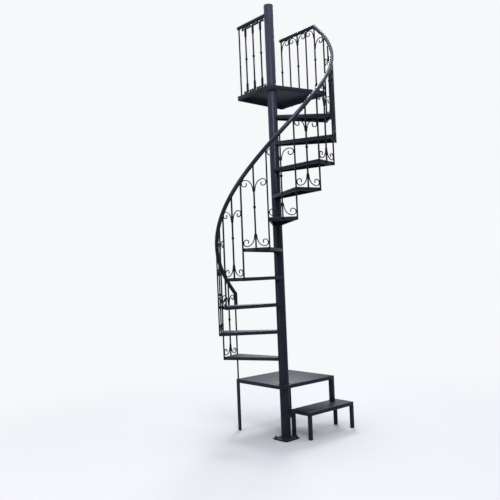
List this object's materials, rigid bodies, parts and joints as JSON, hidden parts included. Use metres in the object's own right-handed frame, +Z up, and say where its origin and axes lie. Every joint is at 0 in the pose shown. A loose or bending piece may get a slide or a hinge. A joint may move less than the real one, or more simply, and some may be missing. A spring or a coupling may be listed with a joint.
{
  "type": "spiral staircase",
  "caption": "Exterior steel spiral stair to a roof: wedge treads round a post, scrollwork railing, floor platform with a step, and a roof landing.",
  "frame": {"origin": "on the centre post's axis, at the underside of its base plate, which is floor level", "axes": "+Z up along the post; +X along the building's face; +Y towards the building; the flight climbs anticlockwise seen from above"},
  "size_m": [1.3049, 1.1796, 4.0562],
  "materials": {
    "post_paint": "semi-gloss charcoal paint",
    "tread_paint": "semi-gloss charcoal paint, worn matt and dusty where people tread",
    "frame_paint": "semi-gloss charcoal paint",
    "rail_paint": "semi-gloss charcoal paint, rubbed smoother by hands",
    "bar_paint": "semi-gloss charcoal paint"
  },
  "bodies": {
    "root": {"base_plate": "post_paint", "centre_post": "post_paint", "tread_01": "tread_paint", "tread_02": "tread_paint", "tread_03": "tread_paint", "tread_04": "tread_paint", "tread_05": "tread_paint", "tread_06": "tread_paint", "tread_07": "tread_paint", "tread_08": "tread_paint", "tread_09": "tread_paint", "tread_10": "tread_paint", "platform_plate": "tread_paint", "platform_frame": "frame_paint", "platform_wall_legs": "frame_paint", "platform_front_leg": "frame_paint", "step_plate": "tread_paint", "step_frame": "frame_paint", "step_legs": "frame_paint", "landing_plate": "tread_paint", "landing_frame": "frame_paint", "handrail": "rail_paint", "handrail_return": "rail_paint", "landing_rail_right": "rail_paint", "landing_rail_left": "rail_paint", "plain_balusters": "bar_paint", "scroll_balusters": "bar_paint"}
  },
  "joints": []
}
